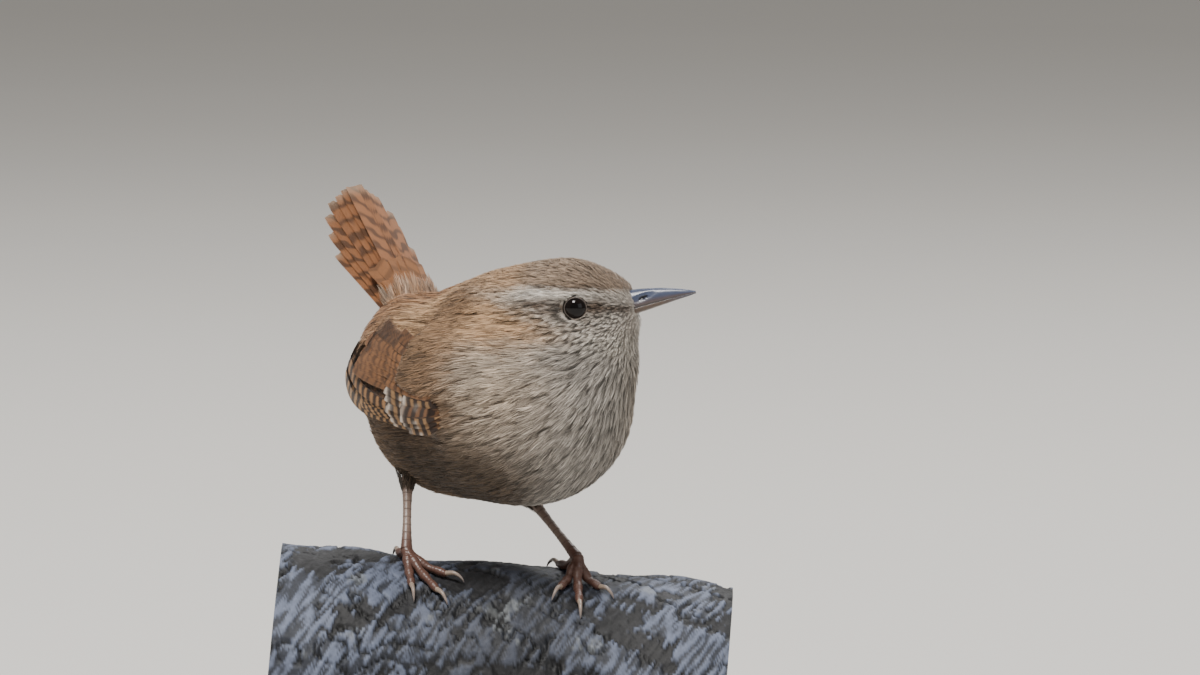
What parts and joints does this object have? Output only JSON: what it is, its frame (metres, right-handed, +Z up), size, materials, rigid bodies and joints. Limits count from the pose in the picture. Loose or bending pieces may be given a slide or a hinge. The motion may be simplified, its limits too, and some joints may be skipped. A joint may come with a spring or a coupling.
{
  "type": "wren model on a perch",
  "caption": "Life-size still model of a Eurasian wren with cocked tail, standing on a cut length of branch that rods hold over a flat display base.",
  "frame": {"origin": "middle of the underside of the stand's base", "axes": "+Z up, +X to the right along the perch as the viewer sees it, -Y towards the viewer"},
  "size_m": [0.098, 0.074, 0.1398],
  "materials": {
    "plumage": "soft, matt body feathers, grey-brown above and pale buff below",
    "flight_feather": "close, slightly silky rufous feathers with dark bars",
    "eye": "wet, glossy, near black",
    "horn": "smooth horn with a low sheen",
    "scaled_skin": "small smooth scutes with a slight shine",
    "bark": "rough grey bark with cracks and pale lichen",
    "base_wood": "dark stained, satin",
    "rod": "brushed"
  },
  "bodies": {
    "root": {"torso": "plumage", "neck": "plumage", "head": "plumage", "eye_right": "eye", "eye_left": "eye", "bill_upper": "horn", "bill_lower": "horn", "wing_right": "flight_feather", "wing_left": "flight_feather", "tail": "flight_feather", "thigh_right": "plumage", "thigh_left": "plumage", "tarsus_right": "scaled_skin", "tarsus_left": "scaled_skin", "foot_right": "scaled_skin", "foot_left": "scaled_skin", "claw_right_outer": "horn", "claw_right_middle": "horn", "claw_right_inner": "horn", "claw_right_hind": "horn", "claw_left_outer": "horn", "claw_left_middle": "horn", "claw_left_inner": "horn", "claw_left_hind": "horn", "perch": "bark", "stand_base": "base_wood", "stand_rod_left": "rod", "stand_rod_right": "rod"}
  },
  "joints": []
}
